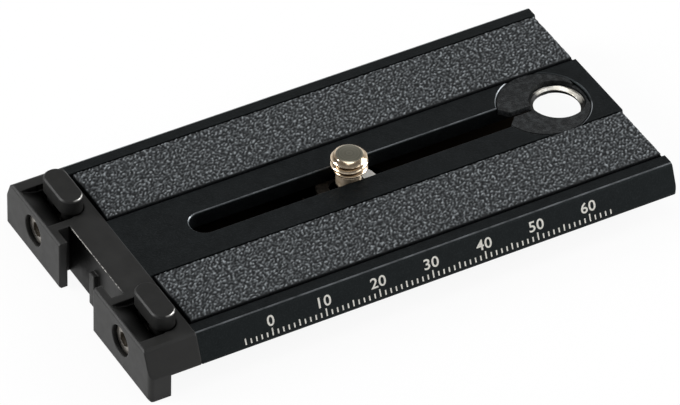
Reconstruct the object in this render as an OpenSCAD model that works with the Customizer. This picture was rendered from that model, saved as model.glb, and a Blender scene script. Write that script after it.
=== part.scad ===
// Sliding camera plate with dovetail sides.
// An extruded plate carries two rubber grip strips and a camera screw that runs in a long slot.
// A cast end cap holds two stop lugs, which push down into it, and is fixed by two screws.
// X runs along the plate, from the end cap (-X) to the round hole (+X), Y runs across it.
// Z = 0 is the underside, and X = 0, Y = 0 is the middle of the whole plate.

/* [Plate] */
// Length of the extruded plate, without the end cap
plate_len = 90; // [80:1:140]
// Width across the top face
top_w = 46.7; // [46:0.1:56]
// How far each dovetail side leans out from the top face to its lower edge
dovetail_flare = 2.1; // [1:0.1:4]
// Height of the dovetail sides
dovetail_h = 5.06; // [4.8:0.02:6]
// Small upright land at the dovetail's lower edge
dovetail_land = 0.3; // [0.1:0.05:0.6]
// Depth of the whole section, from the top face to the underside
body_h = 9.5; // [9.2:0.1:14]
// Thickness of the web between the two rails
web_t = 3; // [2:0.1:3.4]
// Distance from the dovetail's lower edge in to a rail
rail_inset = 4.45; // [4:0.05:6]
// Width of each rail
rail_w = 10; // [9.4:0.1:11]
// Bevel along the outer edges of the top face
edge_bevel = 0.35; // [0.1:0.05:0.6]
// Bevel along the lower edges of the rails
rail_bevel = 0.5; // [0.2:0.1:1]
// Radius of the upright corners at the plate's far end
corner_r = 0.6; // [0.2:0.1:1.5]
// Radius of the upright corners at the seam between the plate and the end cap
seam_r = 0.25; // [0.1:0.05:0.5]

/* [Slot and hole] */
// Width of the slot that the camera screw runs in
slot_w = 5; // [4:0.1:5.6]
// Distance from the end cap to the slot's closed end
slot_start = 11.7; // [6:0.1:25]
// Bevel along the slot's upper edges
slot_bevel = 0.25; // [0.1:0.05:0.5]
// Outer thread diameter of the round hole, through which screws are changed
hole_d = 9.52; // [7.4:0.01:10]
// Distance from the hole's centre to the plate's far end
hole_inset = 8.2; // [6.5:0.1:14]
// Chamfer at the hole's lower edge
hole_chamfer = 0.6; // [0.1:0.05:0.8]
// Diameter of the round recess for the retainer disc
recess_d = 16; // [15.2:0.1:17]
// Depth of the recess
recess_depth = 1.1; // [0.8:0.1:1.4]

/* [Retainer disc] */
// Gap between the retainer disc and the side of its recess
retainer_gap = 0.1; // [0.05:0.05:0.2]
// How far the disc's upper face sits below the plate's
retainer_sink = 0.08; // [0.02:0.02:0.3]
// How much wider the disc's own hole is than the hole in the plate
retainer_relief = 0.36; // [0.34:0.02:0.5]
// Width of the narrow slit that keeps the screw out of the hole
retainer_slit_w = 1.3; // [0.8:0.1:2.4]
// Length of the tapered mouth in front of the slit
retainer_mouth = 1.8; // [1.5:0.1:3.4]
// Least width of the thin link that joins the disc's two jaws, between its hole and its edge
retainer_link_w = 0.26; // [0.2:0.02:0.8]
// Length along the plate over which the disc is thinned to form the link
retainer_link_len = 0.8; // [0.5:0.1:2]
// Thickness of the link
retainer_link_t = 0.5; // [0.3:0.05:0.6]

/* [Grip strips] */
// Width of the bare land between the two strip channels
land_w = 15.2; // [14:0.1:17]
// Width of the rim outside each strip channel
rim_w = 2.3; // [1.8:0.1:3]
// Depth of the strip channels
strip_depth = 0.9; // [0.5:0.1:1.2]
// How far each channel wall leans out towards the top
strip_lean = 0.3; // [0.1:0.05:0.5]
// How far the strips stand above the plate
strip_proud = 0.35; // [0.1:0.05:0.8]
// Gap between a strip and the foot of its channel wall
strip_gap = 0.25; // [0.1:0.05:0.5]
// Gap between a strip's end and the end cap
strip_seam_gap = 0.6; // [0.2:0.1:1]
// Distance from a strip's other end to the plate's far end
strip_end_gap = 0.5; // [0.2:0.1:1.5]
// Bevel along the upper edges of the strips
strip_bevel = 0.2; // [0.1:0.05:0.35]

/* [End cap] */
// Length of the end cap along the plate
cap_len = 9.5; // [9.3:0.1:12]
// Thickness of the cap's deep front wall
front_t = 3.9; // [3.6:0.1:4.4]
// Width of the front notch's mouth
notch_mouth_w = 12; // [8:0.2:15]
// Width of the front notch behind its lips
notch_w = 18.8; // [17:0.2:20]
// Thickness of the lips at the notch's mouth
notch_lip_t = 1.5; // [1:0.1:1.8]
// Depth of the notch, from the front face to its back wall
notch_depth = 3.7; // [3.2:0.1:4]
// Thickness of the wall behind the notch, below the cap's top slab
notch_back_t = 2; // [1.5:0.1:3]
// Width of the upright rib on the notch's back wall
rib_w = 1.5; // [1:0.1:2.5]
// How far the rib stands out from the back wall
rib_proud = 0.9; // [0.5:0.1:1.2]
// Distance from the top face down to the rib's top
rib_drop = 3; // [1:0.1:5]
// Radius of the cap's upright front corners
cap_corner_r = 0.9; // [0.3:0.1:1.5]
// Distance from the front face to the nearest point of a finger scoop
scoop_inset = 0.5; // [0.4:0.05:0.8]
// Depth of a finger scoop where it meets its lug
scoop_depth = 1.2; // [0.8:0.05:1.3]
// Radius of the scoop's round floor
scoop_r = 6; // [5:0.1:8]
// How far a scoop reaches past its lug at each end
scoop_side = 0.3; // [0.2:0.05:0.5]
// Radius of a scoop's corners
scoop_corner_r = 1.3; // [0.5:0.1:2]

/* [Stop lugs] */
// Thickness of a lug along the plate
lug_t = 4.2; // [3.8:0.1:4.4]
// Length of a lug across the plate
lug_len = 9.4; // [8.6:0.1:9.8]
// Distance from the cap's front face to a lug
lug_setback = 3.85; // [3.75:0.05:4.05]
// How far a raised lug stands above the plate
lug_height = 3; // [2.8:0.1:3.6]
// Gap under a raised lug's wide head, above the top face
lug_head_lift = 0.1; // [0.1:0.05:0.3]
// How much slimmer the lug's stem is than its head, on each side
lug_step = 0.6; // [0.4:0.05:0.9]
// Running gap round a lug in its well
lug_gap = 0.15; // [0.1:0.05:0.25]
// Bevel along the upper edge of a lug
lug_bevel = 0.3; // [0.1:0.05:0.6]

/* [Cap screws] */
// Thread diameter of the cap screws
cap_screw_d = 2.5; // [2:0.1:2.6]
// Distance of each cap screw inboard from its lug's centre
cap_screw_inset = 0.7; // [0:0.1:1]
// Depth of the cap screws' axes below the top face
cap_screw_drop = 4; // [3.95:0.05:4.4]
// Diameter of the cap screws' heads
cap_head_d = 5; // [4.2:0.1:5.1]
// Thickness of the cap screws' heads
cap_head_t = 1.3; // [1.1:0.1:1.5]
// How deep the heads sit below the front face
cap_head_sink = 0.7; // [0.4:0.1:0.9]
// Gap round a head in its counterbore
cap_head_gap = 0.3; // [0.1:0.05:0.35]
// How far the cap screws reach into the plate
cap_screw_grip = 5.5; // [3:0.1:9]
// Width across the flats of the driver socket
cap_socket_w = 2.5; // [1.5:0.1:2.8]
// Depth of the driver socket
cap_socket_depth = 0.8; // [0.5:0.1:0.9]
// Gap round a cap screw where it passes through the cap
cap_hole_gap = 0.15; // [0.1:0.05:0.3]

/* [Camera screw] */
// Thread diameter of the camera screw
thread_d = 6.35; // [5.8:0.05:7]
// Length of the thread above the plate
thread_len = 3.9; // [3:0.1:8]
// Chamfer at the thread's tip
thread_chamfer = 0.75; // [0.2:0.05:1]
// Distance from the end cap to the camera screw at rest
screw_pos = 41.4; // [28:0.1:60]
// Diameter of the coin-slot head
head_d = 16; // [12:0.1:18]
// Thickness of the coin-slot head
head_t = 3.4; // [2.6:0.1:3.8]
// Width of the coin slot
coin_slot_w = 1.8; // [1:0.1:2.5]
// Depth of the coin slot
coin_slot_depth = 1.6; // [1:0.1:2]
// Number of finger flutes round the head
flute_count = 20; // [12:1:30]
// Radius of a finger flute
flute_r = 0.8; // [0.4:0.1:1]
// Outer diameter of the washer under the web
washer_d = 11; // [10.4:0.1:14]
// Thickness of the washer
washer_t = 1; // [0.6:0.1:1.4]
// Gap between the screw and what it slides on
screw_gap = 0.1; // [0.05:0.05:0.2]
// Gap between the screw's neck and the sides of the slot
neck_gap = 0.3; // [0.1:0.05:0.5]

/* [Hidden] */
$fn = 96;

// Overcut that carries each cut clear of the face it starts from
over = 1;
// Running gap between the threads of the cap screws and their holes
tap_gap = 0.05;

// Stations along the plate
total_len = cap_len + plate_len;
x_front = -total_len / 2;
x_seam = x_front + cap_len;
x_end = total_len / 2;
x_hole = x_end - hole_inset;
x_link = x_hole + (hole_d + retainer_relief) / 2 + retainer_link_w;
x_recess = x_link + retainer_gap - recess_d / 2;
x_slot = x_seam + slot_start + slot_w / 2;
x_screw = x_seam + screw_pos;
x_lug = x_front + lug_setback + lug_t / 2;

// Levels
z_flange = body_h - dovetail_h;
z_web = body_h - web_t;
z_washer = z_web - screw_gap - washer_t;
z_head = z_washer - screw_gap - head_t;
z_cap_screw = body_h - cap_screw_drop;
z_lug_top = body_h + lug_height;
z_recess = body_h - recess_depth;
z_lug_step = body_h + lug_head_lift;
// A lug travels down until its head comes close to the cap screw's shank
lug_travel = z_lug_step - z_cap_screw - cap_screw_d / 2 - lug_gap;
z_well_step = z_lug_step - lug_travel - lug_gap;

// Places across the plate
dovetail_w = top_w + 2 * dovetail_flare;
rail_out = dovetail_w / 2 - rail_inset;
rail_in = rail_out - rail_w;
y_lug = rail_in + rail_w / 2;
y_cap_screw = y_lug - cap_screw_inset;
strip_in = land_w / 2 + strip_lean;
strip_out = top_w / 2 - rim_w - strip_lean;

// Camera screw
neck_d = slot_w - 2 * neck_gap;
washer_hole_d = thread_d + 2 * screw_gap;

// Cap screw and lug slot
x_cap_head = x_front + cap_head_sink;
x_cap_seat = x_cap_head + cap_head_t;
slot_r = cap_screw_d / 2 + lug_gap;
// The slot's lower end stops the lug when it is up, and the head's underside when it is pushed down
z_lug_slot_low = z_cap_screw - lug_gap / 2;
z_lug_foot = z_lug_slot_low - slot_r - lug_step;

// Places a profile drawn as (across, up) along the plate, from x0 over a length
module along_plate(x0, length) {
    translate([x0, 0, 0]) rotate([90, 0, 90]) linear_extrude(height = length) children();
}

// Repeats a shape on the other side of the plate
module both_sides() {
    children();
    mirror([0, 1, 0]) children();
}

// One half of the dovetail flange, from the middle out to the slanted side
module flange_half() {
    lean = dovetail_flare / (dovetail_h - dovetail_land);
    polygon([
        [0, z_flange],
        [dovetail_w / 2, z_flange],
        [dovetail_w / 2, z_flange + dovetail_land],
        [top_w / 2 + lean * edge_bevel, body_h - edge_bevel],
        [top_w / 2 - edge_bevel, body_h],
        [0, body_h]
    ]);
}

// One rail under the flange
module rail_half() {
    polygon([
        [rail_in, z_flange + over],
        [rail_in, rail_bevel],
        [rail_in + rail_bevel, 0],
        [rail_out - rail_bevel, 0],
        [rail_out, rail_bevel],
        [rail_out, z_flange + over]
    ]);
}

// Section of a strip channel, with its walls leaning out
module strip_channel_half() {
    lean = strip_lean / strip_depth;
    polygon([
        [strip_in, body_h - strip_depth],
        [strip_out, body_h - strip_depth],
        [strip_out + lean * (strip_depth + over), body_h + over],
        [strip_in - lean * (strip_depth + over), body_h + over]
    ]);
}

// Outline from x0 to x1 with round corners, of radius r0 at x0 and r1 at x1
module rounded_outline(x0, x1, w, r0, r1) {
    translate([x0 + r0, -w / 2]) square([x1 - x0 - r0 - r1, w]);
    translate([x0, r0 - w / 2]) square([r0 + over, w - 2 * r0]);
    translate([x1 - r1 - over, r1 - w / 2]) square([r1 + over, w - 2 * r1]);
    for (s = [-1, 1]) {
        translate([x0 + r0, s * (w / 2 - r0)]) circle(r0);
        translate([x1 - r1, s * (w / 2 - r1)]) circle(r1);
    }
}

// Upright prism over an outline, taller than the plate
module upright() {
    translate([0, 0, -over]) linear_extrude(height = body_h + 2 * over) children();
}

// Slot for the camera screw, open into the round hole, with bevelled upper edges
module slot_cut() {
    slot_len = x_hole - x_slot;
    translate([x_slot, -slot_w / 2, z_web - over]) cube([slot_len, slot_w, web_t + 2 * over]);
    translate([x_slot, 0, z_web - over]) cylinder(d = slot_w, h = web_t + 2 * over);
    along_plate(x_slot, x_recess - x_slot) polygon([
        [-slot_w / 2, body_h - slot_bevel],
        [slot_w / 2, body_h - slot_bevel],
        [slot_w / 2 + slot_bevel + over, body_h + over],
        [-slot_w / 2 - slot_bevel - over, body_h + over]
    ]);
    translate([x_slot, 0, body_h - slot_bevel])
        cylinder(d1 = slot_w, d2 = slot_w + 2 * (slot_bevel + over), h = slot_bevel + over);
}

// Round hole, chamfered below, and the recess about it
module hole_cut() {
    translate([x_hole, 0, z_web - over]) cylinder(d = hole_d, h = web_t + 2 * over);
    translate([x_hole, 0, z_web - over])
        cylinder(d1 = hole_d + 2 * (hole_chamfer + over), d2 = hole_d, h = hole_chamfer + over);
    translate([x_recess, 0, z_recess]) cylinder(d = recess_d, h = recess_depth + over);
    translate([x_recess, 0, body_h - slot_bevel])
        cylinder(d1 = recess_d, d2 = recess_d + 2 * (slot_bevel + over), h = slot_bevel + over);
}

// Threaded holes for the cap screws in the plate's end face
module cap_screw_holes() {
    hole_len = over + cap_screw_grip + tap_gap;
    both_sides() translate([x_seam - over, y_cap_screw, z_cap_screw])
        rotate([0, 90, 0]) cylinder(d = cap_screw_d + 2 * tap_gap, h = hole_len);
}

module base_plate() {
    color([0.11, 0.115, 0.12]) difference() {
        intersection() {
            union() {
                along_plate(x_seam, plate_len) {
                    flange_half();
                    mirror([1, 0]) flange_half();
                }
                along_plate(x_seam, plate_len) {
                    rail_half();
                    mirror([1, 0]) rail_half();
                }
            }
            upright() rounded_outline(x_seam, x_end, dovetail_w, seam_r, corner_r);
        }
        along_plate(x_seam - over, plate_len + 2 * over) {
            translate([-rail_in, -over]) square([2 * rail_in, z_web + over]);
            strip_channel_half();
            mirror([1, 0]) strip_channel_half();
        }
        slot_cut();
        hole_cut();
        cap_screw_holes();
    }
}

// Disc in the recess: a thin link joins its two jaws, whose slit keeps the screw out of the hole
module screw_retainer() {
    disc_r = recess_d / 2 - retainer_gap;
    mouth_x = x_recess - disc_r;
    half_slit = retainer_slit_w / 2;
    half_mouth = slot_w / 2;
    color([0.15, 0.155, 0.165]) difference() {
        translate([x_recess, 0, z_recess]) cylinder(r = disc_r, h = recess_depth - retainer_sink);
        translate([0, 0, z_recess - over]) linear_extrude(height = recess_depth + 2 * over) {
            translate([x_hole, 0]) circle(d = hole_d + retainer_relief);
            translate([mouth_x - over, -half_slit]) square([x_hole - mouth_x + over, 2 * half_slit]);
            polygon([
                [mouth_x - over, -half_mouth],
                [mouth_x, -half_mouth],
                [mouth_x + retainer_mouth, -half_slit],
                [mouth_x + retainer_mouth, half_slit],
                [mouth_x, half_mouth],
                [mouth_x - over, half_mouth]
            ]);
        }
        translate([x_recess + disc_r - retainer_link_len, -disc_r, z_recess + retainer_link_t])
            cube([retainer_link_len + over, 2 * disc_r, recess_depth]);
    }
}

// Rubber strip that lies in its channel, with bevelled upper edges
module grip_strip() {
    z_foot = body_h - strip_depth;
    z_strip = body_h + strip_proud;
    y_in = strip_in + strip_gap;
    y_out = strip_out - strip_gap;
    x_from = x_seam + strip_seam_gap;
    x_to = x_end - strip_end_gap;
    color([0.25, 0.26, 0.275]) intersection() {
        along_plate(x_from, x_to - x_from) polygon([
            [y_in, z_foot],
            [y_out, z_foot],
            [y_out, z_strip - strip_bevel],
            [y_out - strip_bevel, z_strip],
            [y_in + strip_bevel, z_strip],
            [y_in, z_strip - strip_bevel]
        ]);
        translate([0, y_out + over, 0]) rotate([90, 0, 0]) linear_extrude(height = y_out - y_in + 2 * over)
            polygon([
                [x_from, z_foot - over],
                [x_to, z_foot - over],
                [x_to, z_strip - strip_bevel],
                [x_to - strip_bevel, z_strip],
                [x_from + strip_bevel, z_strip],
                [x_from, z_strip - strip_bevel]
            ]);
    }
}

module grip_strip_far() {
    grip_strip();
}

module grip_strip_near() {
    mirror([0, 1, 0]) grip_strip();
}

// Upright column with round ends, centred on a lug
module lug_column(z0, z1, t, len) {
    translate([x_lug, y_lug, z0]) {
        translate([-t / 2, -(len - t) / 2, 0]) cube([t, len - t, z1 - z0]);
        for (s = [-1, 1]) translate([0, s * (len - t) / 2, 0]) cylinder(d = t, h = z1 - z0);
    }
}

// Well that a lug slides in: wide at the top, slim for the stem, and open at the foot
module lug_well() {
    stem_gap = lug_gap - lug_step;
    lug_column(z_well_step, body_h + over, lug_t + 2 * lug_gap, lug_len + 2 * lug_gap);
    lug_column(-over, z_well_step + over, lug_t + 2 * stem_gap, lug_len + 2 * stem_gap);
}

// Finger scoop in front of a lug: a round floor that deepens towards the lug's well
module scoop_cut() {
    rise = scoop_r - scoop_depth;
    reach = sqrt(scoop_r * scoop_r - rise * rise);
    scoop_w = lug_len + 2 * scoop_side;
    x_edge = x_front + scoop_inset;
    intersection() {
        translate([x_edge + reach, y_lug, body_h + rise])
            rotate([90, 0, 0]) cylinder(r = scoop_r, h = 2 * scoop_w, center = true);
        upright() translate([0, y_lug])
            rounded_outline(x_edge - over, x_lug, scoop_w, scoop_corner_r, scoop_corner_r);
    }
}

// Counterbore for the head and clearance hole for the shank of a cap screw
module cap_screw_cut() {
    translate([x_front - over, y_cap_screw, z_cap_screw]) rotate([0, 90, 0]) {
        cylinder(d = cap_head_d + 2 * cap_head_gap, h = over + cap_head_sink + cap_head_t);
        cylinder(d = cap_screw_d + 2 * cap_hole_gap, h = cap_len + 2 * over);
    }
}

// Notch in the front wall, wider behind its lips, open at the top and the underside
module notch_cut() {
    translate([x_front - over, -notch_mouth_w / 2, -over])
        cube([notch_lip_t + 2 * over, notch_mouth_w, body_h + 2 * over]);
    translate([x_front + notch_lip_t, -notch_w / 2, -over])
        cube([notch_depth - notch_lip_t, notch_w, body_h + 2 * over]);
}

module end_cap() {
    wall_h = z_flange + dovetail_land;
    color([0.2, 0.2, 0.2]) {
        difference() {
            intersection() {
                union() {
                    along_plate(x_front, cap_len) {
                        flange_half();
                        mirror([1, 0]) flange_half();
                    }
                    translate([x_front, -dovetail_w / 2, 0]) cube([front_t, dovetail_w, wall_h]);
                    translate([x_front + notch_depth, -rail_out, 0])
                        cube([notch_back_t, 2 * rail_out, wall_h]);
                    both_sides() translate([x_front + notch_depth, rail_in, 0])
                        cube([cap_len - notch_depth, rail_w, wall_h]);
                }
                upright() rounded_outline(x_front, x_seam, dovetail_w, cap_corner_r, seam_r);
                // Bevel along the front edges, top and bottom
                rotate([90, 0, 0]) linear_extrude(height = 2 * dovetail_w, center = true) polygon([
                    [x_front, edge_bevel],
                    [x_front + edge_bevel, 0],
                    [x_seam, 0],
                    [x_seam, body_h],
                    [x_front + edge_bevel, body_h],
                    [x_front, body_h - edge_bevel]
                ]);
            }
            notch_cut();
            both_sides() {
                lug_well();
                scoop_cut();
                cap_screw_cut();
            }
        }
        translate([x_front + notch_depth - rib_proud, -rib_w / 2, 0])
            cube([rib_proud + notch_back_t / 2, rib_w, body_h - rib_drop]);
    }
}

// Stop lug: a wide head with a bevelled top, on a slim stem that is slotted for the cap screw
module stop_lug() {
    color([0.3, 0.3, 0.3]) difference() {
        union() {
            lug_column(z_lug_step, z_lug_top - lug_bevel, lug_t, lug_len);
            lug_top_bevel();
            lug_column(z_lug_foot, z_lug_step + over, lug_t - 2 * lug_step, lug_len - 2 * lug_step);
        }
        translate([x_lug - lug_t, y_cap_screw - slot_r, z_lug_slot_low])
            cube([2 * lug_t, 2 * slot_r, z_lug_step - z_lug_slot_low]);
        translate([x_lug - lug_t, y_cap_screw, z_lug_slot_low])
            rotate([0, 90, 0]) cylinder(r = slot_r, h = 2 * lug_t);
    }
}

// Bevelled rim round the top of a lug
module lug_top_bevel() {
    half_run = (lug_len - lug_t) / 2;
    translate([x_lug, y_lug, z_lug_top - lug_bevel]) {
        for (s = [-1, 1]) translate([0, s * half_run, 0])
            cylinder(d1 = lug_t, d2 = lug_t - 2 * lug_bevel, h = lug_bevel);
        translate([0, half_run, 0]) rotate([90, 0, 0]) linear_extrude(height = 2 * half_run) polygon([
            [-lug_t / 2, 0],
            [lug_t / 2, 0],
            [lug_t / 2 - lug_bevel, lug_bevel],
            [lug_bevel - lug_t / 2, lug_bevel]
        ]);
    }
}

module stop_lug_far() {
    stop_lug();
}

module stop_lug_near() {
    mirror([0, 1, 0]) stop_lug();
}

// Socket head screw that fixes the cap to the plate and guides a lug
module cap_screw() {
    color([0.7, 0.69, 0.66]) translate([x_cap_head, y_cap_screw, z_cap_screw]) rotate([0, 90, 0])
        difference() {
            union() {
                cylinder(d = cap_head_d, h = cap_head_t);
                cylinder(d = cap_screw_d, h = x_seam + cap_screw_grip - x_cap_head);
            }
            translate([0, 0, -over])
                cylinder(d = cap_socket_w / cos(30), h = over + cap_socket_depth, $fn = 6);
        }
}

module cap_screw_far() {
    cap_screw();
}

module cap_screw_near() {
    mirror([0, 1, 0]) cap_screw();
}

// Camera screw: thread above the plate, slim neck in the slot, fluted coin-slot head below the web
module camera_screw() {
    z_thread = body_h + screw_gap;
    color([0.75, 0.73, 0.7]) translate([x_screw, 0, 0]) difference() {
        union() {
            translate([0, 0, z_thread]) cylinder(d = thread_d, h = thread_len - thread_chamfer);
            translate([0, 0, z_thread + thread_len - thread_chamfer])
                cylinder(d1 = thread_d, d2 = thread_d - 2 * thread_chamfer, h = thread_chamfer);
            translate([0, 0, z_head]) cylinder(d = neck_d, h = z_thread - z_head + over);
            translate([0, 0, z_head]) cylinder(d = head_d, h = head_t);
        }
        for (k = [0 : flute_count - 1]) rotate([0, 0, (k + 0.5) * 360 / flute_count])
            translate([head_d / 2 + flute_r / 2, 0, z_head - over])
                cylinder(r = flute_r, h = head_t + 2 * over);
        translate([-head_d, -coin_slot_w / 2, z_head - over])
            cube([2 * head_d, coin_slot_w, over + coin_slot_depth]);
    }
}

module screw_washer() {
    color([0.8, 0.79, 0.77]) translate([x_screw, 0, z_washer]) difference() {
        cylinder(d = washer_d, h = washer_t);
        translate([0, 0, -over]) cylinder(d = washer_hole_d, h = washer_t + 2 * over);
    }
}

base_plate();
screw_retainer();
grip_strip_far();
grip_strip_near();
end_cap();
stop_lug_far();
stop_lug_near();
cap_screw_far();
cap_screw_near();
camera_screw();
screw_washer();
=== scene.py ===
import math

import bmesh
import bpy
import numpy as np
from mathutils import Matrix, Vector


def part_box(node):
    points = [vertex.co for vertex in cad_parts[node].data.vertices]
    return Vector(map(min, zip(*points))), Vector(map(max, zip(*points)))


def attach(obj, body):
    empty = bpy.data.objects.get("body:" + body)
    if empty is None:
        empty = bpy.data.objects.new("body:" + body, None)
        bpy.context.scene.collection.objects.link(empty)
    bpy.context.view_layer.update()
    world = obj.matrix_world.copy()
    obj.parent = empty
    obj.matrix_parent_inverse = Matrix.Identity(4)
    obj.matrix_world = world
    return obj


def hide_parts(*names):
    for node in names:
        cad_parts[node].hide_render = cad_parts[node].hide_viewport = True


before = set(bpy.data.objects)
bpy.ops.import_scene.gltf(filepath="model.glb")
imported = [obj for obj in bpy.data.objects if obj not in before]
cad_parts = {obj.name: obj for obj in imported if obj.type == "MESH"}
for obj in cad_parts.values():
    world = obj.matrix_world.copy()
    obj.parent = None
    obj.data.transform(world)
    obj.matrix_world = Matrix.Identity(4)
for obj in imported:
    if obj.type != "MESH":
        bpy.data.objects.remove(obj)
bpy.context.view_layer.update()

MM = 0.001

# Camera, fitted to the printed scale and the plate's corners in the photograph: TARGET_PX shows TARGET
IMAGE_SIZE = (680, 405)
AZIMUTH, ELEVATION, ROLL = (math.radians(a) for a in (-30.637, 40.684, 1.752))
FOCAL_PX = 5840.5
SENSOR = 36.0
CAMERA_DISTANCE = 969.4 * MM
CAMERA_CLIP = (0.05, 20.0)
TARGET = Vector((0.25, 0, 6.5)) * MM
TARGET_PX = (343.58, 186.84)

# Sizes shared with the solids, in metres
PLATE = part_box("base_plate")
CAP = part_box("end_cap")
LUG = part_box("stop_lug_far")
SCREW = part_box("camera_screw")
TOP_Z = PLATE[1].z
SEAM_X = PLATE[0].x
LUG_TOP_Z = LUG[1].z
SCREW_X = (SCREW[0].x + SCREW[1].x) / 2
SCREW_TIP_Z = SCREW[1].z
NOTCH_BACK_X = CAP[0].x + 3.7 * MM
TOP_HALF = 23.35 * MM
LOWER_HALF = PLATE[1].y
DOVETAIL_DROP = 4.76 * MM
HOLE_R = 4.76 * MM
HOLE_X = PLATE[1].x - 8.2 * MM
SLOT_HALF = 2.5 * MM
INCH = 25.4 * MM
THREAD_PITCH = INCH / 20
HOLE_PITCH = INCH / 16

# Places of wear, painted highlights and painted shade, in millimetres like the shaders' coordinates. A fade
# is where a change begins and where it is complete, a band is its middle and half its width, a half is half a
# width or height, and a depth counts down from the piece's top.
EDGE_DEPTH = 0.15
RECESS_FADE = (HOLE_X / MM - 6, HOLE_X / MM - 4)
UNLIT_EDGE_BAND = (4.5, 7.5)
LIT_EDGE_BAND = (-6.0, 3.0)
SLOT_EDGE_BAND = (SLOT_HALF / MM + 0.1, 0.25)
SCOOP_FADE = (LUG[0].x / MM - 2.6, LUG[0].x / MM - 0.4)
SCOOP_BAND = ((LUG[0].y + LUG[1].y) / 2 / MM, 4.6)
SCOOP_EDGE_DEPTH = 0.2
NOTCH_SHADE_FADE = (-7.0, 2.5)
NOTCH_HALF = 8.0
LUG_EDGE_DEPTH = 0.16
WASHER_FADE = (SCREW_X / MM + 2.4, SCREW_X / MM + 3.2)
HOLE_HIGHLIGHT_FADE = (1.6, 3.6)
SCREW_SHADE_Z = 7.4
SCREW_END_DEPTH = 0.1
NECK_HALF = 1.0
THREAD_HALF = 1.5

# Directions of the lit sides that the painted highlights face, in the round hole's thread and on the lugs'
# rims. The hole's fade counts along the first one, from the hole's axis.
HOLE_LIT_SIDE = (0.64, 0.77, 0)
LUG_LIT_SIDE = (0.5, -0.87, 0)

# Floor: where the painted shadow in the closed space under the plate ends, beside the round hole, and how
# white the rest is
SHADOW_END_X = 42.1 * MM
SHADOW_HALF_Y = 20 * MM
FLOOR_GLOW = 0.92
FLOOR_HALF = 3.0


# Shader helpers

# Places of the Mix node's colour sockets, which share their names with its number sockets
MIX_A, MIX_B, MIX_RESULT = 6, 7, 2
RAY_SAMPLES = 8


def new_material(name):
    """An empty node material: returns it, its tree and its Principled shader."""
    made = bpy.data.materials.new(name)
    made.use_nodes = True
    return made, made.node_tree, made.node_tree.nodes["Principled BSDF"]


def add(tree, kind, sockets=(), **settings):
    """A new shader node. sockets maps an input to its value, or to the output that is linked to it."""
    made = tree.nodes.new("ShaderNode" + kind)
    for name, value in settings.items():
        setattr(made, name, value)
    for name, value in dict(sockets).items():
        if isinstance(value, bpy.types.NodeSocket):
            tree.links.new(value, made.inputs[name])
        else:
            made.inputs[name].default_value = value
    return made


def feed(tree, shader, **sockets):
    """Links outputs to the shader's sockets, whose names have spaces where these have underscores."""
    for name, value in sockets.items():
        tree.links.new(value, shader.inputs[name.replace("_", " ")])


def math_node(tree, operation, a, b):
    """The result of one operation on two values."""
    return add(tree, "Math", {0: a, 1: b}, operation=operation).outputs[0]


def product(tree, first, *others):
    """All the values multiplied."""
    for value in others:
        first = math_node(tree, "MULTIPLY", first, value)
    return first


def remap(tree, value, low, high, to_low=0.0, to_high=1.0):
    """A value carried from one range to another, and kept within it."""
    names = {"Value": value, "From Min": low, "From Max": high, "To Min": to_low, "To Max": to_high}
    return add(tree, "MapRange", names).outputs[0]


def between(tree, mask, a, b):
    """Value a where the mask is 0, and b where it is 1."""
    return remap(tree, mask, 0.0, 1.0, a, b)


def blend_colour(tree, mask, a, b):
    """Colour a where the mask is 0, and b where it is 1."""
    made = add(tree, "Mix", {"Factor": mask}, data_type="RGBA")
    for socket, value in ((made.inputs[MIX_A], a), (made.inputs[MIX_B], b)):
        if isinstance(value, bpy.types.NodeSocket):
            tree.links.new(value, socket)
        else:
            socket.default_value = (*value, 1)
    return made.outputs[MIX_RESULT]


def mm_coords(tree):
    """Object coordinates in millimetres."""
    place = add(tree, "TexCoord").outputs["Object"]
    return add(tree, "VectorMath", {0: place, "Scale": 1 / MM}, operation="SCALE").outputs[0]


def own_normal(tree):
    """The normal of the solid itself, in its own frame."""
    return add(tree, "TexCoord").outputs["Normal"]


def from_axis(tree, coords, x_mm):
    """Coordinates counted from an upright axis at a place along the plate."""
    return add(tree, "VectorMath", {0: coords, 1: (x_mm, 0, 0)}, operation="SUBTRACT").outputs[0]


def along_axis(tree, vector, axis):
    """The part of a vector along one axis."""
    return add(tree, "VectorMath", {0: vector, 1: axis}, operation="DOT_PRODUCT").outputs["Value"]


def stretch(tree, coords, factors):
    """Coordinates scaled apart along the axes, so that a noise turns into brushing."""
    return add(tree, "VectorMath", {0: coords, 1: factors}, operation="MULTIPLY").outputs[0]


def noise(tree, coords, scale, detail=3.0, roughness=0.55):
    """A noise value of about 0.2 to 0.8, finer with a larger scale."""
    made = add(tree, "TexNoise", {"Vector": coords, "Scale": scale, "Detail": detail, "Roughness": roughness})
    return made.outputs["Fac"]


def attribute(tree, name):
    """A value that the mesh carries at its vertices."""
    return add(tree, "Attribute", attribute_name=name).outputs["Fac"]


def near_value(tree, value, middle, half_width, soft):
    """1 within half a width of a middle value, and 0 beyond it."""
    away = math_node(tree, "ABSOLUTE", math_node(tree, "SUBTRACT", value, middle), 0.0)
    return remap(tree, away, half_width, half_width + soft, 1.0, 0.0)


def height_mask(tree, coords, z_mm, soft_mm=0.1):
    """1 above a height in millimetres, 0 below it."""
    height = add(tree, "SeparateXYZ", {0: coords}).outputs["Z"]
    return remap(tree, height, z_mm - soft_mm, z_mm + soft_mm)


def facing_mask(tree, low, high, soft=0.04):
    """1 where the solid's own face rises at a slope between the two values of its normal's Z."""
    up = add(tree, "SeparateXYZ", {0: own_normal(tree)}).outputs["Z"]
    rising = remap(tree, up, low - soft, low)
    falling = remap(tree, up, high, high + soft, 1.0, 0.0)
    return product(tree, rising, falling)


def hollow_mask(tree, reach_mm, closed, clear):
    """0 in corners and hollows and 1 in the open, from how much of the near space is free."""
    free = add(tree, "AmbientOcclusion", {"Distance": reach_mm * MM}, samples=RAY_SAMPLES).outputs["AO"]
    return remap(tree, free, closed, clear)


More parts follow.
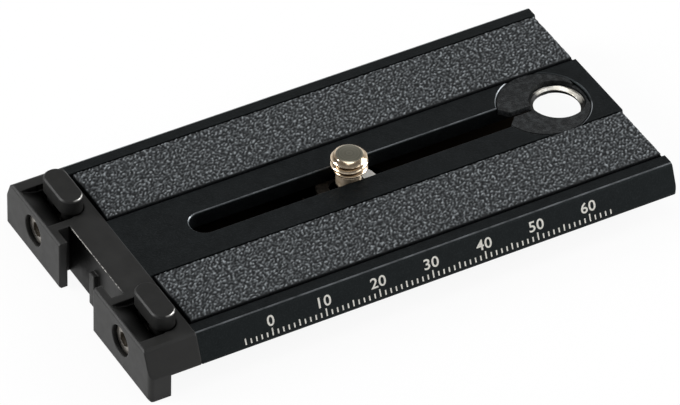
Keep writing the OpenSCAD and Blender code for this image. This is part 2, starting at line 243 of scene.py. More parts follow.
def soft_edge(tree, radius_mm):
    """A normal that rounds the solid's sharp edges."""
    return add(tree, "Bevel", {"Radius": radius_mm * MM}, samples=RAY_SAMPLES).outputs[0]


def bump(tree, height, strength, depth_mm, normal=None):
    """A normal that a height field tilts, on top of another normal where one is given."""
    sockets = {"Height": height, "Strength": strength, "Distance": depth_mm * MM}
    if normal is not None:
        sockets["Normal"] = normal
    return add(tree, "Bump", sockets).outputs[0]


def seen_rays(tree):
    """1 for the rays that show the backdrop: from the camera, and by way of metal and glass."""
    paths = add(tree, "LightPath").outputs
    seen = math_node(tree, "MAXIMUM", paths["Is Camera Ray"], paths["Is Glossy Ray"])
    return math_node(tree, "MAXIMUM", seen, paths["Is Transmission Ray"])


# Materials

def black_metal():
    """Black anodised plate: mottling, a fine blasted grain, painted shade in its corners and a painted
    highlight along its upper edges.

    Round the recess the painted highlight is full on the near edge and left out on the far edge, which keeps
    its black.
    """
    made, tree, shader = new_material("black_metal")
    black, worn_black = (0.0026, 0.003, 0.0034), (0.0044, 0.0051, 0.0056)
    dust, hollow_shade, highlight_alloy = (0.016, 0.018, 0.0195), (0.0015, 0.0014, 0.0013), (0.26, 0.275, 0.29)
    coords = mm_coords(tree)
    mottle = noise(tree, coords, 0.5, 4.0, 0.6)
    grain = noise(tree, coords, 3.2, 3.0, 0.6)
    base = blend_colour(tree, remap(tree, mottle, 0.35, 0.7), black, worn_black)
    base = blend_colour(tree, remap(tree, grain, 0.5, 0.8, 0.0, 0.6), base, dust)
    # Painted shade: the colour darkens to near black in corners and hollows, where shade falls.
    base = blend_colour(tree, hollow_mask(tree, 3.0, 0.25, 0.7), hollow_shade, base)
    across = along_axis(tree, coords, (0, 1, 0))
    recess = remap(tree, along_axis(tree, coords, (1, 0, 0)), *RECESS_FADE)
    # Round the recess the painted highlight is full on the near side and left out on the far side; along the
    # slot it is dimmer.
    unlit_edge = product(tree, recess, near_value(tree, across, *UNLIT_EDGE_BAND, 1.0))
    lit_edge = product(tree, recess, near_value(tree, across, *LIT_EDGE_BAND, 1.0))
    slot_side = near_value(tree, math_node(tree, "ABSOLUTE", across, 0.0), *SLOT_EDGE_BAND, 0.1)
    patchy = remap(tree, noise(tree, coords, 0.35, 3.0), 0.3, 0.6, 0.3, 1.0)
    patchy = product(tree, math_node(tree, "MAXIMUM", patchy, lit_edge),
                     between(tree, unlit_edge, 1.0, 0.1), between(tree, slot_side, 1.0, 0.45))
    # Painted highlight: the upper bevels are lightened to a pale metal colour and made metallic.
    upper = height_mask(tree, coords, TOP_Z / MM - EDGE_DEPTH, 0.04)
    painted_edge_highlight = product(tree, facing_mask(tree, 0.62, 0.8), upper, patchy)
    base = blend_colour(tree, painted_edge_highlight, base, highlight_alloy)
    plain = remap(tree, math_node(tree, "ADD", mottle, grain), 0.6, 1.4, 0.36, 0.5)
    rough = between(tree, painted_edge_highlight, plain, 0.28)
    relief = bump(tree, grain, 0.6, 0.06, soft_edge(tree, 0.2))
    mirror = product(tree, painted_edge_highlight, between(tree, lit_edge, 1.0, 0.25))
    feed(tree, shader, Base_Color=base, Roughness=rough, Metallic=mirror, Normal=relief)
    shader.inputs["Specular IOR Level"].default_value = 0.15
    shader.inputs["Specular Tint"].default_value = (0.8, 0.97, 1.0, 1)
    return made


def black_plastic():
    """Moulded black plastic of the retainer disc: fine grain, smears and faint cloudy gloss."""
    made, tree, shader = new_material("black_plastic")
    black, grey, smeared = (0.0035, 0.0041, 0.0045), (0.01, 0.0112, 0.0119), (0.027, 0.0295, 0.031)
    coords = mm_coords(tree)
    cloud = noise(tree, coords, 0.5, 3.0)
    grain = noise(tree, coords, 4.5, 3.0, 0.6)
    smear = noise(tree, coords, 1.1, 4.0, 0.7)
    base = blend_colour(tree, remap(tree, grain, 0.35, 0.7), black, grey)
    base = blend_colour(tree, remap(tree, smear, 0.45, 0.62, 0.0, 0.9), base, smeared)
    rough = remap(tree, cloud, 0.3, 0.7, 0.45, 0.58)
    relief = bump(tree, math_node(tree, "ADD", grain, smear), 0.9, 0.16, soft_edge(tree, 0.25))
    feed(tree, shader, Base_Color=base, Roughness=rough, Normal=relief)
    shader.inputs["Specular IOR Level"].default_value = 0.18
    return made


def worn_thread():
    """Black thread in the round hole whose upward flank is pale bare metal, kept to the lit side as a painted
    highlight.
    """
    made, tree, shader = new_material("worn_thread")
    black, pale, warm = (0.006, 0.0055, 0.005), (0.9, 0.88, 0.83), (0.8, 0.76, 0.67)
    coords = mm_coords(tree)
    lines = noise(tree, stretch(tree, coords, (0.5, 0.5, 7.0)), 2.2, 3.0)
    tint = noise(tree, coords, 0.6, 3.0)
    bare = blend_colour(tree, remap(tree, tint, 0.35, 0.65), pale, warm)
    flank = remap(tree, along_axis(tree, own_normal(tree), (0, 0, 1)), 0.3, 0.5)
    # Painted highlight: the pale bare flank fades out away from the lit side.
    side = along_axis(tree, from_axis(tree, coords, HOLE_X / MM), HOLE_LIT_SIDE)
    flank = product(tree, flank, remap(tree, side, *HOLE_HIGHLIGHT_FADE))
    base = blend_colour(tree, flank, black, bare)
    rough = remap(tree, lines, 0.3, 0.7, 0.3, 0.45)
    relief = bump(tree, lines, 0.15, 0.015)
    feed(tree, shader, Base_Color=base, Roughness=rough, Metallic=flank, Normal=relief)
    shader.inputs["Specular IOR Level"].default_value = 0.2
    return made


def grip_rubber():
    """Dark grey rubber with a leathery grain, paler on the tips of its wrinkles, partly as wear and partly as
    a painted highlight.
    """
    made, tree, shader = new_material("grip_rubber")
    dark, clouded, pale = (0.0036, 0.0046, 0.0055), (0.006, 0.0072, 0.0084), (0.3, 0.326, 0.342)
    coords = mm_coords(tree)
    speck = noise(tree, coords, 5.0, 2.0, 0.6)
    cloud = noise(tree, coords, 0.25, 2.0)
    base = blend_colour(tree, remap(tree, cloud, 0.35, 0.65), dark, clouded)
    # The paler tips are partly wear and partly a painted highlight on the wrinkles' crests.
    tips = product(tree, attribute(tree, "tip"), remap(tree, speck, 0.3, 0.65, 0.4, 1.0))
    base = blend_colour(tree, tips, base, pale)
    rough = remap(tree, speck, 0.3, 0.7, 0.4, 0.7)
    feed(tree, shader, Base_Color=base, Roughness=rough, Normal=bump(tree, speck, 0.5, 0.05))
    shader.inputs["Specular IOR Level"].default_value = 0.24
    return made


def cap_paint():
    """Dark grey paint on a casting: orange peel, painted shade in its corners, the lug scoops and on the
    notch's back wall, and a painted highlight on the notch's top edge.
    """
    made, tree, shader = new_material("cap_paint")
    grey, worn_grey = (0.0125, 0.0125, 0.0121), (0.0165, 0.0165, 0.016)
    shade_colour, highlight_alloy = (0.0012, 0.0012, 0.0011), (0.34, 0.33, 0.31)
    coords = mm_coords(tree)
    cloud = noise(tree, coords, 0.4, 3.0)
    peel = noise(tree, coords, 3.2, 2.0, 0.5)
    unshaded = blend_colour(tree, remap(tree, cloud, 0.3, 0.7), grey, worn_grey)
    # Painted shade: the paint darkens to near black in corners and hollows.
    base = blend_colour(tree, hollow_mask(tree, 4.0, 0.3, 0.75), shade_colour, unshaded)
    along = along_axis(tree, coords, (1, 0, 0))
    across = along_axis(tree, coords, (0, 1, 0))
    # Painted shade in the lug scoops, where the lugs' shadow falls, and on the notch's back wall towards its
    # far end; the metallic mask below takes the gloss off it as well.
    sunk = between(tree, height_mask(tree, coords, TOP_Z / MM - SCOOP_EDGE_DEPTH, 0.1), 1.0, 0.0)
    inward = remap(tree, along, *SCOOP_FADE, 0.0, 0.97)
    inside = near_value(tree, math_node(tree, "ABSOLUTE", across, 0.0), *SCOOP_BAND, 0.2)
    scoop_shade = product(tree, sunk, inward, inside, facing_mask(tree, 0.5, 1.1))
    back = near_value(tree, along, NOTCH_BACK_X / MM, 0.2, 0.1)
    notch_shade = product(tree, back, remap(tree, across, *NOTCH_SHADE_FADE, 0.0, 0.97),
                      facing_mask(tree, -0.5, 0.5))
    painted_shade = math_node(tree, "MAXIMUM", scoop_shade, notch_shade)
    base = blend_colour(tree, painted_shade, base, shade_colour)
    # Painted highlight: a pale metal line along the top of the notch's back wall, broken into patches.
    edge = near_value(tree, along, NOTCH_BACK_X / MM, 0.08, 0.05)
    upper = height_mask(tree, coords, TOP_Z / MM - EDGE_DEPTH, 0.03)
    patchy = remap(tree, noise(tree, coords, 1.6, 4.0, 0.7), 0.42, 0.6)
    painted_highlight = product(tree, edge, near_value(tree, across, 0.0, NOTCH_HALF, 1.0), upper, patchy)
    base = blend_colour(tree, painted_highlight, base, highlight_alloy)
    rough = remap(tree, cloud, 0.3, 0.7, 0.44, 0.54)
    relief = bump(tree, peel, 0.18, 0.03, soft_edge(tree, 0.45))
    feed(tree, shader, Base_Color=base, Roughness=rough, Metallic=painted_shade, Normal=relief)
    shader.inputs["Specular IOR Level"].default_value = 0.25
    return made


def lug_metal():
    """Lug: the cap's grey, semi-gloss, with painted shade in its corners and a painted highlight on the lit
    side of its rim.
    """
    made, tree, shader = new_material("lug_metal")
    grey, worn_grey = (0.0105, 0.0105, 0.0101), (0.0145, 0.0145, 0.014)
    hollow_shade, highlight_alloy = (0.0015, 0.0015, 0.0014), (0.62, 0.61, 0.59)
    coords = mm_coords(tree)
    cloud = noise(tree, coords, 0.6, 3.0)
    brushed = noise(tree, stretch(tree, coords, (1.0, 1.0, 14.0)), 2.5, 2.0)
    unshaded = blend_colour(tree, remap(tree, cloud, 0.3, 0.7), grey, worn_grey)
    # Painted shade: the grey darkens to near black in corners and hollows.
    base = blend_colour(tree, hollow_mask(tree, 2.5, 0.3, 0.8), hollow_shade, unshaded)
    # Painted highlight: the upper rim on its lit side is lightened to a pale metal colour, in patches.
    upper = height_mask(tree, coords, LUG_TOP_Z / MM - LUG_EDGE_DEPTH, 0.04)
    turned = along_axis(tree, own_normal(tree), LUG_LIT_SIDE)
    patchy = remap(tree, noise(tree, coords, 1.2, 3.0), 0.35, 0.6, 0.5, 1.0)
    rim_highlight = product(tree, facing_mask(tree, 0.45, 0.86), upper, remap(tree, turned, 0.5, 0.68), patchy)
    base = blend_colour(tree, rim_highlight, base, highlight_alloy)
    rough = remap(tree, brushed, 0.3, 0.7, 0.4, 0.5)
    relief = bump(tree, brushed, 0.15, 0.02, soft_edge(tree, 0.25))
    feed(tree, shader, Base_Color=base, Roughness=rough, Metallic=rim_highlight, Normal=relief)
    shader.inputs["Specular IOR Level"].default_value = 0.23
    return made


def burnished_steel():
    """Burnished steel of the cap screws, with fine tool lines round Z and dull spots."""
    made, tree, shader = new_material("burnished_steel")
    pale, dull = (0.3, 0.28, 0.25), (0.12, 0.1, 0.085)
    coords = mm_coords(tree)
    lines = noise(tree, stretch(tree, coords, (0.6, 0.6, 9.0)), 2.0, 3.0)
    spots = noise(tree, coords, 1.1, 4.0, 0.65)
    base = blend_colour(tree, remap(tree, spots, 0.5, 0.8), pale, dull)
    rough = remap(tree, math_node(tree, "ADD", lines, spots), 0.7, 1.4, 0.24, 0.38)
    feed(tree, shader, Base_Color=base, Roughness=rough, Normal=bump(tree, lines, 0.1, 0.01))
    shader.inputs["Metallic"].default_value = 1.0
    return made


def washer_steel():
    """Steel washer, dark on its shaded end as painted shade and pale on its lit end as a painted highlight.
    """
    made, tree, shader = new_material("washer_steel")
    coords = mm_coords(tree)
    spots = noise(tree, coords, 1.4, 4.0, 0.6)
    blotches = remap(tree, spots, 0.4, 0.7)
    # Painted light: the lit end is pale and the other end is dark.
    painted_highlight = remap(tree, along_axis(tree, coords, (1, 0, 0)), *WASHER_FADE)
    bare = blend_colour(tree, blotches, (0.95, 0.94, 0.9), (0.8, 0.78, 0.72))
    shaded = blend_colour(tree, blotches, (0.02, 0.017, 0.013), (0.045, 0.038, 0.03))
    base = blend_colour(tree, painted_highlight, shaded, bare)
    rough = remap(tree, spots, 0.3, 0.7, 0.35, 0.5)
    feed(tree, shader, Base_Color=base, Roughness=rough, Normal=bump(tree, spots, 0.1, 0.01))
    shader.inputs["Metallic"].default_value = 0.5
    return made


def screw_plating():
    """Warm nickel plate on the camera screw, with a greyer end that shows the rings of its turning, painted
    shade in the thread's roots and painted shade below the web's middle.
    """
    made, tree, shader = new_material("nickel_steel")
    root_shade, shade_colour = (0.12, 0.075, 0.035), (0.01, 0.008, 0.006)
    coords = mm_coords(tree)
    offset = stretch(tree, from_axis(tree, coords, SCREW_X / MM), (1, 1, 0))
    radial = add(tree, "VectorMath", {0: offset}, operation="LENGTH").outputs["Value"]
    height = along_axis(tree, coords, (0, 0, 1))
    rings = noise(tree, add(tree, "CombineXYZ", {0: radial}).outputs[0], 3.5, 2.0, 0.7)
    spots = noise(tree, coords, 1.4, 3.0, 0.6)
    warm = blend_colour(tree, remap(tree, spots, 0.4, 0.75), (0.84, 0.7, 0.53), (0.6, 0.46, 0.31))
    grey = blend_colour(tree, remap(tree, rings, 0.35, 0.65), (0.25, 0.24, 0.19), (0.36, 0.345, 0.28))
    uppermost = height_mask(tree, coords, SCREW_TIP_Z / MM - SCREW_END_DEPTH, 0.03)
    end = product(tree, facing_mask(tree, 0.93, 1.1), uppermost)
    # Painted shade: the thread's roots are darkened to brown.
    threaded = near_value(tree, height, (SCREW_TIP_Z - THREAD_LEN / 2) / MM, THREAD_HALF, 0.4)
    root = product(tree, remap(tree, radial, ROOT_R / MM + 0.1, THREAD_R / MM - 0.1, 1.0, 0.0), threaded)
    base = blend_colour(tree, end, blend_colour(tree, root, warm, root_shade), grey)
    # Painted shade: below the web's middle, where the web shades the screw, it is made nearly black.
    base = blend_colour(tree, height_mask(tree, coords, SCREW_SHADE_Z, 0.3), shade_colour, base)
    rough = between(tree, end, remap(tree, spots, 0.3, 0.7, 0.1, 0.2), 0.32)
    neck = near_value(tree, height, (SCREW_TIP_Z - THREAD_LEN) / MM - NECK_HALF, NECK_HALF, 0.3)
    metal = between(tree, neck, 1.0, 0.65)
    feed(tree, shader, Base_Color=base, Roughness=rough, Metallic=metal, Normal=bump(tree, rings, 0.3, 0.02))
    return made


def scale_ink():
    """Warm white printing ink with faint thin patches."""
    made, tree, shader = new_material("scale_ink")
    coords = mm_coords(tree)
    patch = noise(tree, coords, 4.0, 3.0, 0.7)
    base = blend_colour(tree, remap(tree, patch, 0.35, 0.65), (0.62, 0.6, 0.55), (0.78, 0.765, 0.71))
    rough = remap(tree, patch, 0.3, 0.7, 0.45, 0.65)
    feed(tree, shader, Base_Color=base, Roughness=rough, Normal=bump(tree, patch, 0.1, 0.01))
    return made


def floor_white():
    """White floor with a painted shadow, dark in the closed space under the plate, and with a soft share of
    the object's shadow elsewhere.
    """
    made, tree, shader = new_material("floor_white")
    white, dark = (0.9, 0.9, 0.9), (0.012, 0.009, 0.006)
    coords = mm_coords(tree)
    middle = (SEAM_X + SHADOW_END_X) / 2 / MM
    half = (SHADOW_END_X - SEAM_X) / 2 / MM
    # Painted shadow: the floor is made dark in the closed space under the plate.
    shadowed = near_value(tree, along_axis(tree, coords, (1, 0, 0)), middle, half, 0.3)
    across = near_value(tree, along_axis(tree, coords, (0, 1, 0)), 0.0, SHADOW_HALF_Y / MM, 1.0)
    shadowed = product(tree, shadowed, across)
    feed(tree, shader, Base_Color=blend_colour(tree, shadowed, white, dark))
    shader.inputs["Roughness"].default_value = 0.9
    shader.inputs["Specular IOR Level"].default_value = 0.0
    glow = add(tree, "Emission", {"Color": (1, 1, 1, 1), "Strength": 1.0})
    share = product(tree, seen_rays(tree), between(tree, shadowed, FLOOR_GLOW, 0.0))
    mixed = add(tree, "MixShader", {0: share, 1: shader.outputs[0], 2: glow.outputs[0]})
    tree.links.new(mixed.outputs[0], tree.nodes["Material Output"].inputs["Surface"])
    return made


# Mesh helpers

# Points round a turned piece
AROUND = 180
ANGLES = np.linspace(0, 2 * math.pi, AROUND, endpoint=False)


def mesh_object(name, verts, faces, material, smooth=True):
    """A piece from vertices in metres, with its normals facing out."""
    mesh = bpy.data.meshes.new(name)
    mesh.from_pydata([tuple(v) for v in verts], [], faces)
    work = bmesh.new()
    work.from_mesh(mesh)
    bmesh.ops.recalc_face_normals(work, faces=work.faces)
    work.to_mesh(mesh)
    work.free()
    mesh.materials.append(material)
    for polygon in mesh.polygons:
        polygon.use_smooth = smooth
    made = bpy.data.objects.new(name, mesh)
    bpy.context.scene.collection.objects.link(made)
    return made


def ring_verts(rings, x, y):
    """Vertices of rings round an upright axis, from each ring's height and its radii."""
    verts = []
    for z, radius in rings:
        verts += [(x + r * math.cos(a), y + r * math.sin(a), z) for a, r in zip(ANGLES, radius)]
    return verts


def ring_faces(first, second):
    """Faces between two rings, from the rings' numbers."""
    a, b = first * AROUND, second * AROUND
    return [(a + i, a + (i + 1) % AROUND, b + (i + 1) % AROUND, b + i) for i in range(AROUND)]


def dress(node, material):
    """Gives a CAD node its finish."""
    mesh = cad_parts[node].data
    mesh.materials.clear()
    mesh.materials.append(material)


# Grip strips

GRAIN_STEP = 0.12 * MM
GRAIN_FINEST = 0.4 * MM
GRAIN_COARSEST = 2.4 * MM
GRAIN_LEAN = 1.5
GRAIN_DEPTH = 0.13 * MM
GRAIN_CONTRAST = 0.4
TIP_CONTRAST = 0.22
TIP_SHARPNESS = 3.0
STRIP_ROUND = 0.22 * MM
STEEPEST_ROUND = 0.98
STRIP_SEEDS = {"grip_strip_far": 11, "grip_strip_near": 23}


def leather_grain(rows, columns, seed):
    """Uneven wrinkles, longer on one diagonal, with waves between the finest and the coarsest grain."""
    rng = np.random.RandomState(seed)
    waves = np.fft.fft2(rng.standard_normal((rows, columns)))
    across = np.fft.fftfreq(rows, GRAIN_STEP)[:, None]
    along = np.fft.fftfreq(columns, GRAIN_STEP)[None, :]
    frequency = np.hypot(GRAIN_LEAN * (along + across), along - across) / math.sqrt(2)
    band = np.exp(-(frequency * GRAIN_FINEST) ** 6) * (1 - np.exp(-(frequency * GRAIN_COARSEST) ** 2))
    grain = np.real(np.fft.ifft2(waves * band))
    return grain / grain.std()


def grip_strip(node, material):
    """Rubber strip with a wrinkled top and rounded upper edges, in its CAD solid's place."""
    low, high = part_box(node)
    xs = np.linspace(low.x, high.x, int((high.x - low.x) / GRAIN_STEP) + 1)
    ys = np.linspace(low.y, high.y, int((high.y - low.y) / GRAIN_STEP) + 1)
    x, y = (g.ravel() for g in np.meshgrid(xs, ys, indexing="ij"))
    inset = np.minimum.reduce([x - low.x, high.x - x, y - low.y, high.y - y])
    edge = np.clip(1 - inset / STRIP_ROUND, 0, 1)
    drop = STRIP_ROUND * (1 - np.sqrt(1 - edge * edge * STEEPEST_ROUND))
    nx, ny = len(xs), len(ys)
    grain = leather_grain(nx, ny, STRIP_SEEDS[node]).ravel()
    z = high.z - drop - GRAIN_DEPTH * (1 - np.clip(0.5 + GRAIN_CONTRAST * grain, 0, 1))
    # Tips of the wrinkles, which the rubber's material paints paler, partly as wear and partly as a painted
    # highlight.
    tip = np.clip(0.5 + TIP_CONTRAST * grain, 0, 1) ** TIP_SHARPNESS * (edge < 0.5)
    verts = list(zip(x, y, z))
    faces = [
        (i * ny + j, (i + 1) * ny + j, (i + 1) * ny + j + 1, i * ny + j + 1)
        for i in range(nx - 1) for j in range(ny - 1)
    ]
    rim = [i * ny for i in range(nx)]
    rim += [(nx - 1) * ny + j for j in range(1, ny)]
    rim += [i * ny + ny - 1 for i in range(nx - 2, -1, -1)]
    rim += [j for j in range(ny - 2, 0, -1)]
    foot = len(verts)
    verts += [(verts[k][0], verts[k][1], low.z) for k in rim]
    count = len(rim)
    faces += [
        (rim[k], rim[(k + 1) % count], foot + (k + 1) % count, foot + k) for k in range(count)
    ]
    faces.append(tuple(range(foot, foot + count)))
    made = mesh_object(node + "_rubber", verts, faces, material)
    values = np.zeros(len(verts), dtype=np.float32)
    values[:len(tip)] = tip
    made.data.attributes.new("tip", "FLOAT", "POINT").data.foreach_set("value", values)
    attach(made, "plate")
    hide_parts(node)


# Printed scale

SCALE_ZERO_X = -27.05 * MM
SCALE_FIRST, SCALE_LAST = -5, 64
TICK_FOOT_Z = 5.04 * MM
TICK_WIDTH = 0.25 * MM
TICK_LENGTHS = {10: 1.32 * MM, 5: 1.1 * MM, 1: 0.84 * MM}
NUMERAL_HEIGHT = 1.86 * MM
NUMERAL_STRETCH = 1.12
NUMERAL_SPACING = 1.06
NUMERAL_BOLD = 0.012
NUMERAL_EXTRUDE = 0.001
NUMERAL_RESOLUTION = 6
NUMERAL_GAP = 0.35 * MM
INK_THICKNESS = 0.012 * MM


def scale_frame():
    """Matrix of the near slanted side: X along the plate, Y up the slope, Z out of the face."""
    up = Vector((0, LOWER_HALF - TOP_HALF, DOVETAIL_DROP)).normalized()
    along = Vector((1, 0, 0))
    out = along.cross(up)
    slope = (LOWER_HALF - TOP_HALF) / DOVETAIL_DROP
    foot = Vector((0, -TOP_HALF - slope * (TOP_Z - TICK_FOOT_Z), TICK_FOOT_Z))
    turned = Matrix((along, up, out)).transposed().to_4x4()
    return Matrix.Translation(foot) @ turned


def tick_mesh(x, length):
    """Vertices and faces of one printed line, in the scale's own frame."""
    corners = [(x + side * TICK_WIDTH / 2, y, z) for z in (-INK_THICKNESS, INK_THICKNESS)
               for side, y in ((-1, 0), (1, 0), (1, length), (-1, length))]
    faces = [(3, 2, 1, 0), (4, 5, 6, 7), (0, 1, 5, 4), (1, 2, 6, 5), (2, 3, 7, 6), (3, 0, 4, 7)]
    return corners, faces


def numeral_mesh(text):
    """Flat outline of a number, centred on X = 0 and standing on Y = 0, with a little thickness."""
    curve = bpy.data.curves.new("numeral", "FONT")
    curve.body = text
    curve.size = 1.0
    curve.align_x = "CENTER"
    curve.space_character = NUMERAL_SPACING
    curve.offset = NUMERAL_BOLD
    curve.extrude = NUMERAL_EXTRUDE
    curve.resolution_u = NUMERAL_RESOLUTION
    holder = bpy.data.objects.new("numeral", curve)
    bpy.context.scene.collection.objects.link(holder)
    bpy.context.view_layer.update()
    mesh = bpy.data.meshes.new_from_object(holder.evaluated_get(bpy.context.evaluated_depsgraph_get()))
    bpy.data.objects.remove(holder)
    co = np.array([v.co for v in mesh.vertices])
    size = NUMERAL_HEIGHT / np.ptp(co[:, 1])
    co[:, 0] = (co[:, 0] - (co[:, 0].min() + co[:, 0].max()) / 2) * size * NUMERAL_STRETCH
    co[:, 1] = (co[:, 1] - co[:, 1].min()) * size
    co[:, 2] = np.sign(co[:, 2]) * INK_THICKNESS
    return co, [tuple(p.vertices) for p in mesh.polygons]


def printed_scale(material):
    """Ticks a millimetre apart and a number at each ten, on the near slanted side."""
    verts, faces = [], []

    def take(new_verts, new_faces, shift=(0, 0)):
        start = len(verts)
        verts.extend((v[0] + shift[0], v[1] + shift[1], v[2]) for v in new_verts)
        faces.extend(tuple(start + k for k in f) for f in new_faces)

    for mark in range(SCALE_FIRST, SCALE_LAST + 1):
        kind = 10 if mark % 10 == 0 else 5 if mark % 5 == 0 else 1
        x = SCALE_ZERO_X + mark * MM
        take(*tick_mesh(x, TICK_LENGTHS[kind]))
        if kind == 10:
            take(*numeral_mesh(str(mark)), (x, TICK_LENGTHS[10] + NUMERAL_GAP))
    place = scale_frame()
    made = mesh_object("printed_scale", [place @ Vector(v) for v in verts], faces, material, smooth=False)
    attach(made, "plate")


# Camera screw

# THREAD_START is a share of a turn. CREST_WIDTH and TIP_ROUND are powers: a smaller one gives a fuller form.
THREAD_R = 3.175 * MM
ROOT_R = 2.45 * MM
THREAD_LEN = 3.9 * MM
THREAD_START = 0.62
CREST_WIDTH = 0.6
RUN_OUT_SLOPE = 0.9
RUN_OUT_ROOT = 0.3
TIP_R = 2.0 * MM
TIP_CHAMFER = 0.7 * MM
TIP_ROUND = 0.7
NECK_R = 2.2 * MM
NECK_FILLET = 0.2 * MM
HEAD_T = 3.4 * MM
HEAD_ROUND = 0.25 * MM
FLUTES = 20
FLUTE_R = 0.8 * MM
COIN_SLOT = (1.8 * MM, 1.6 * MM)
SCREW_HARD_EDGE = 32
THREAD_LEVELS = 100


def thread_radius(angle, z, z_foot, z_tip):
    """Radius of a right-hand thread with rounded crests, a rounded tip and a run-out at its foot."""
    turn = (z - z_foot) / THREAD_PITCH - angle / (2 * math.pi)
    ridge = (0.5 - 0.5 * np.cos(2 * math.pi * (turn + THREAD_START))) ** CREST_WIDTH
    crest = min(THREAD_R, NECK_R + (z - z_foot) * RUN_OUT_SLOPE)
    root = ROOT_R - (THREAD_R - crest) * RUN_OUT_ROOT
    tip = TIP_R + (THREAD_R - TIP_R) * ((z_tip - z) / TIP_CHAMFER) ** TIP_ROUND
    return np.minimum(root + (crest - root) * ridge, tip)


def camera_screw(material):
    """Camera screw with a cut thread, slim neck and fluted coin-slot head, in its CAD solid's place."""
    low, high = SCREW
    cx, cy = SCREW_X, (low.y + high.y) / 2
    head_r = (high.x - low.x) / 2
    z_foot = high.z - THREAD_LEN
    z_head = low.z + HEAD_T
    rings = []

    def ring(z, radius):
        rings.append((z, np.broadcast_to(radius, AROUND)))

    lobe = np.abs((ANGLES * FLUTES / (2 * math.pi)) % 1.0 - 0.5) * 2 * math.pi / FLUTES * head_r
    dent = np.sqrt(np.clip(FLUTE_R ** 2 - lobe ** 2, 0, None))
    fluted = head_r - np.clip(dent - FLUTE_R / 2, 0, None)
    ring(low.z, fluted - HEAD_ROUND)
    ring(low.z + HEAD_ROUND, fluted)
    ring(z_head - HEAD_ROUND, fluted)
    ring(z_head, fluted - HEAD_ROUND)
    ring(z_head, NECK_R + NECK_FILLET)
    ring(z_head + NECK_FILLET, NECK_R)
    ring(z_foot, NECK_R)
    for z in np.linspace(z_foot, high.z, THREAD_LEVELS)[1:]:
        ring(z, thread_radius(ANGLES, z, z_foot, high.z))
    faces = [face for k in range(len(rings) - 1) for face in ring_faces(k, k + 1)]
    faces.append(tuple(range(AROUND))[::-1])
    faces.append(tuple((len(rings) - 1) * AROUND + i for i in range(AROUND)))
    made = mesh_object("camera_screw_cut", ring_verts(rings, cx, cy), faces, material)
    cut_coin_slot(made, Vector((cx, cy, low.z)), head_r)
    for polygon in made.data.polygons:
        polygon.use_smooth = True
    mark_hard_edges(made, SCREW_HARD_EDGE)
    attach(made, "screw")
    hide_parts("camera_screw")


def cut_coin_slot(piece, foot, head_r):
    """Cuts a straight slot across the head's lower face, wide enough for a coin."""
    width, depth = COIN_SLOT
    mesh = bpy.data.meshes.new("coin_slot_cutter")
    work = bmesh.new()
    bmesh.ops.create_cube(work, size=1.0)
    bmesh.ops.scale(work, vec=(3 * head_r, width, 2 * depth), verts=work.verts)
    bmesh.ops.translate(work, vec=foot, verts=work.verts)
    work.to_mesh(mesh)
    work.free()
    cutter = bpy.data.objects.new("coin_slot_cutter", mesh)
    bpy.context.scene.collection.objects.link(cutter)
    cut = piece.modifiers.new("coin_slot", "BOOLEAN")
    cut.operation = "DIFFERENCE"
    cut.object = cutter
    cut.solver = "EXACT"
    bpy.context.view_layer.update()
    done = bpy.data.meshes.new_from_object(piece.evaluated_get(bpy.context.evaluated_depsgraph_get()))
    piece.modifiers.clear()
    piece.data = done
    bpy.data.objects.remove(cutter)


def mark_hard_edges(piece, degrees):
    """Keeps edges sharper than the given angle crisp, so that flat and turned faces meet cleanly."""
    limit = math.radians(degrees)
    work = bmesh.new()
    work.from_mesh(piece.data)
    for edge in work.edges:
        if len(edge.link_faces) == 2 and edge.calc_face_angle(0) > limit:
            edge.smooth = False
    work.to_mesh(piece.data)
    work.free()


# Thread in the round hole

# HOLE_START is a share of a turn, and HOLE_FLANK a share of the pitch
HOLE_CREST_R = 4.05 * MM
HOLE_BODY_R = HOLE_R + 0.12 * MM
HOLE_THREAD_Z = (7.12 * MM, 8.38 * MM)
HOLE_START = 0.355
HOLE_FLANK = 1 / 3.8
ENTRY_CHAMFER = 0.35 * MM
EXIT_CHAMFER = 0.3 * MM
CHAMFER_SLOPE = 1.2
HOLE_HARD_EDGE = 40
HOLE_LEVELS = 28


def hole_thread(material):
    """Thread in the wall of the round hole: a ring whose bore follows a right-hand, flat-crested thread."""
    low, high = HOLE_THREAD_Z
    rings = []
    for z in np.linspace(low, high, HOLE_LEVELS):
        turn = ((z - low) / HOLE_PITCH - ANGLES / (2 * math.pi) + HOLE_START) % 1.0
        ridge = np.clip((0.5 - np.abs(turn - 0.5)) / HOLE_FLANK, 0, 1)
        chamfer = max(0.0, z - (high - ENTRY_CHAMFER), (low + EXIT_CHAMFER) - z)
        crest = HOLE_CREST_R + CHAMFER_SLOPE * chamfer
        rings.append((z, np.maximum(HOLE_R - (HOLE_R - HOLE_CREST_R) * ridge, crest)))
    rings.append((high, np.full(AROUND, HOLE_BODY_R)))
    rings.append((low, np.full(AROUND, HOLE_BODY_R)))
    faces = [face for k in range(len(rings)) for face in ring_faces(k, (k + 1) % len(rings))]
    made = mesh_object("hole_thread", ring_verts(rings, HOLE_X, 0), faces, material)
    mark_hard_edges(made, HOLE_HARD_EDGE)
    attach(made, "plate")


# Stage

# Level of the world's light, and the heights between which its white backdrop gives way to the ceiling
WORLD_LEVEL = 0.25
BACKDROP_EDGE = (0.25, 0.5)

# Lamps: name, place and size in metres, and power in watts
LAMPS = (
    ("key_left", (-0.62, 0.34, 0.34), (0.35, 0.45), 5.6),
    ("fill_front", (0.29, -0.49, 0.49), (0.3, 0.3), 0.45),
    ("panel_right", (0.62, -0.14, 0.3), (0.4, 0.5), 3.6),
    ("top", (0.0, 0.0, 0.8), (0.4, 0.4), 1.2),
)


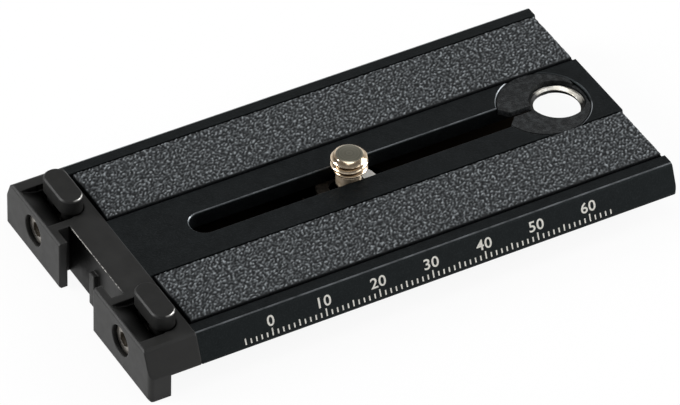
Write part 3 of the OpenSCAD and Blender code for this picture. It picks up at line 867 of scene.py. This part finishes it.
def area_light(name, place, size, power):
    """A soft rectangular lamp that is aimed at the plate."""
    data = bpy.data.lights.new(name, "AREA")
    data.shape = "RECTANGLE"
    data.size, data.size_y = size
    data.energy = power
    lamp = bpy.data.objects.new(name, data)
    lamp.location = place
    lamp.rotation_mode = "QUATERNION"
    lamp.rotation_quaternion = (-Vector(place)).to_track_quat("-Z", "Y")
    bpy.context.scene.collection.objects.link(lamp)


def stage():
    """White floor, pale world and soft studio lights."""
    corners = [(x * FLOOR_HALF, y * FLOOR_HALF, 0) for x, y in ((-1, -1), (1, -1), (1, 1), (-1, 1))]
    floor = mesh_object("floor", corners, [(0, 1, 2, 3)], floor_white())
    world = bpy.data.worlds.new("studio")
    world.use_nodes = True
    tree = world.node_tree
    towards = add(tree, "SeparateXYZ", {0: add(tree, "TexCoord").outputs["Generated"]}).outputs["Z"]
    backdrop = remap(tree, towards, *BACKDROP_EDGE, 1.0, 0.0)
    strength = between(tree, product(tree, seen_rays(tree), backdrop), WORLD_LEVEL, 1.0)
    shade = tree.nodes["Background"]
    shade.inputs["Color"].default_value = (1, 1, 1, 1)
    tree.links.new(strength, shade.inputs["Strength"])
    bpy.context.scene.world = world
    for lamp in LAMPS:
        area_light(*lamp)


def camera():
    """Camera at the photograph's viewpoint."""
    ca, sa, ce, se = math.cos(AZIMUTH), math.sin(AZIMUTH), math.cos(ELEVATION), math.sin(ELEVATION)
    back = Vector((sa * ce, -ca * ce, se))
    level = Vector((ca, sa, 0))
    upright = back.cross(level)
    right = level * math.cos(ROLL) + upright * math.sin(ROLL)
    up = upright * math.cos(ROLL) - level * math.sin(ROLL)
    metres_per_px = CAMERA_DISTANCE / FOCAL_PX
    place = TARGET + back * CAMERA_DISTANCE
    place -= right * (TARGET_PX[0] - IMAGE_SIZE[0] / 2) * metres_per_px
    place += up * (TARGET_PX[1] - IMAGE_SIZE[1] / 2) * metres_per_px
    data = bpy.data.cameras.new("photo_view")
    data.sensor_width = SENSOR
    data.lens = SENSOR * FOCAL_PX / IMAGE_SIZE[0]
    data.clip_start, data.clip_end = CAMERA_CLIP
    made = bpy.data.objects.new("photo_view", data)
    made.matrix_world = Matrix.Translation(place) @ Matrix((right, up, back)).transposed().to_4x4()
    bpy.context.scene.collection.objects.link(made)
    bpy.context.scene.camera = made


def dress_part():
    """Gives every solid its finish and adds the pieces that only the looks need."""
    burnished = burnished_steel()
    rubber = grip_rubber()
    lug = lug_metal()
    dress("base_plate", black_metal())
    dress("screw_retainer", black_plastic())
    dress("end_cap", cap_paint())
    for side in ("far", "near"):
        dress("stop_lug_" + side, lug)
        dress("cap_screw_" + side, burnished)
    dress("screw_washer", washer_steel())
    for node in STRIP_SEEDS:
        grip_strip(node, rubber)
    camera_screw(screw_plating())
    hole_thread(worn_thread())
    printed_scale(scale_ink())


dress_part()
stage()
camera()
bpy.context.scene.view_settings.view_transform = "Standard"
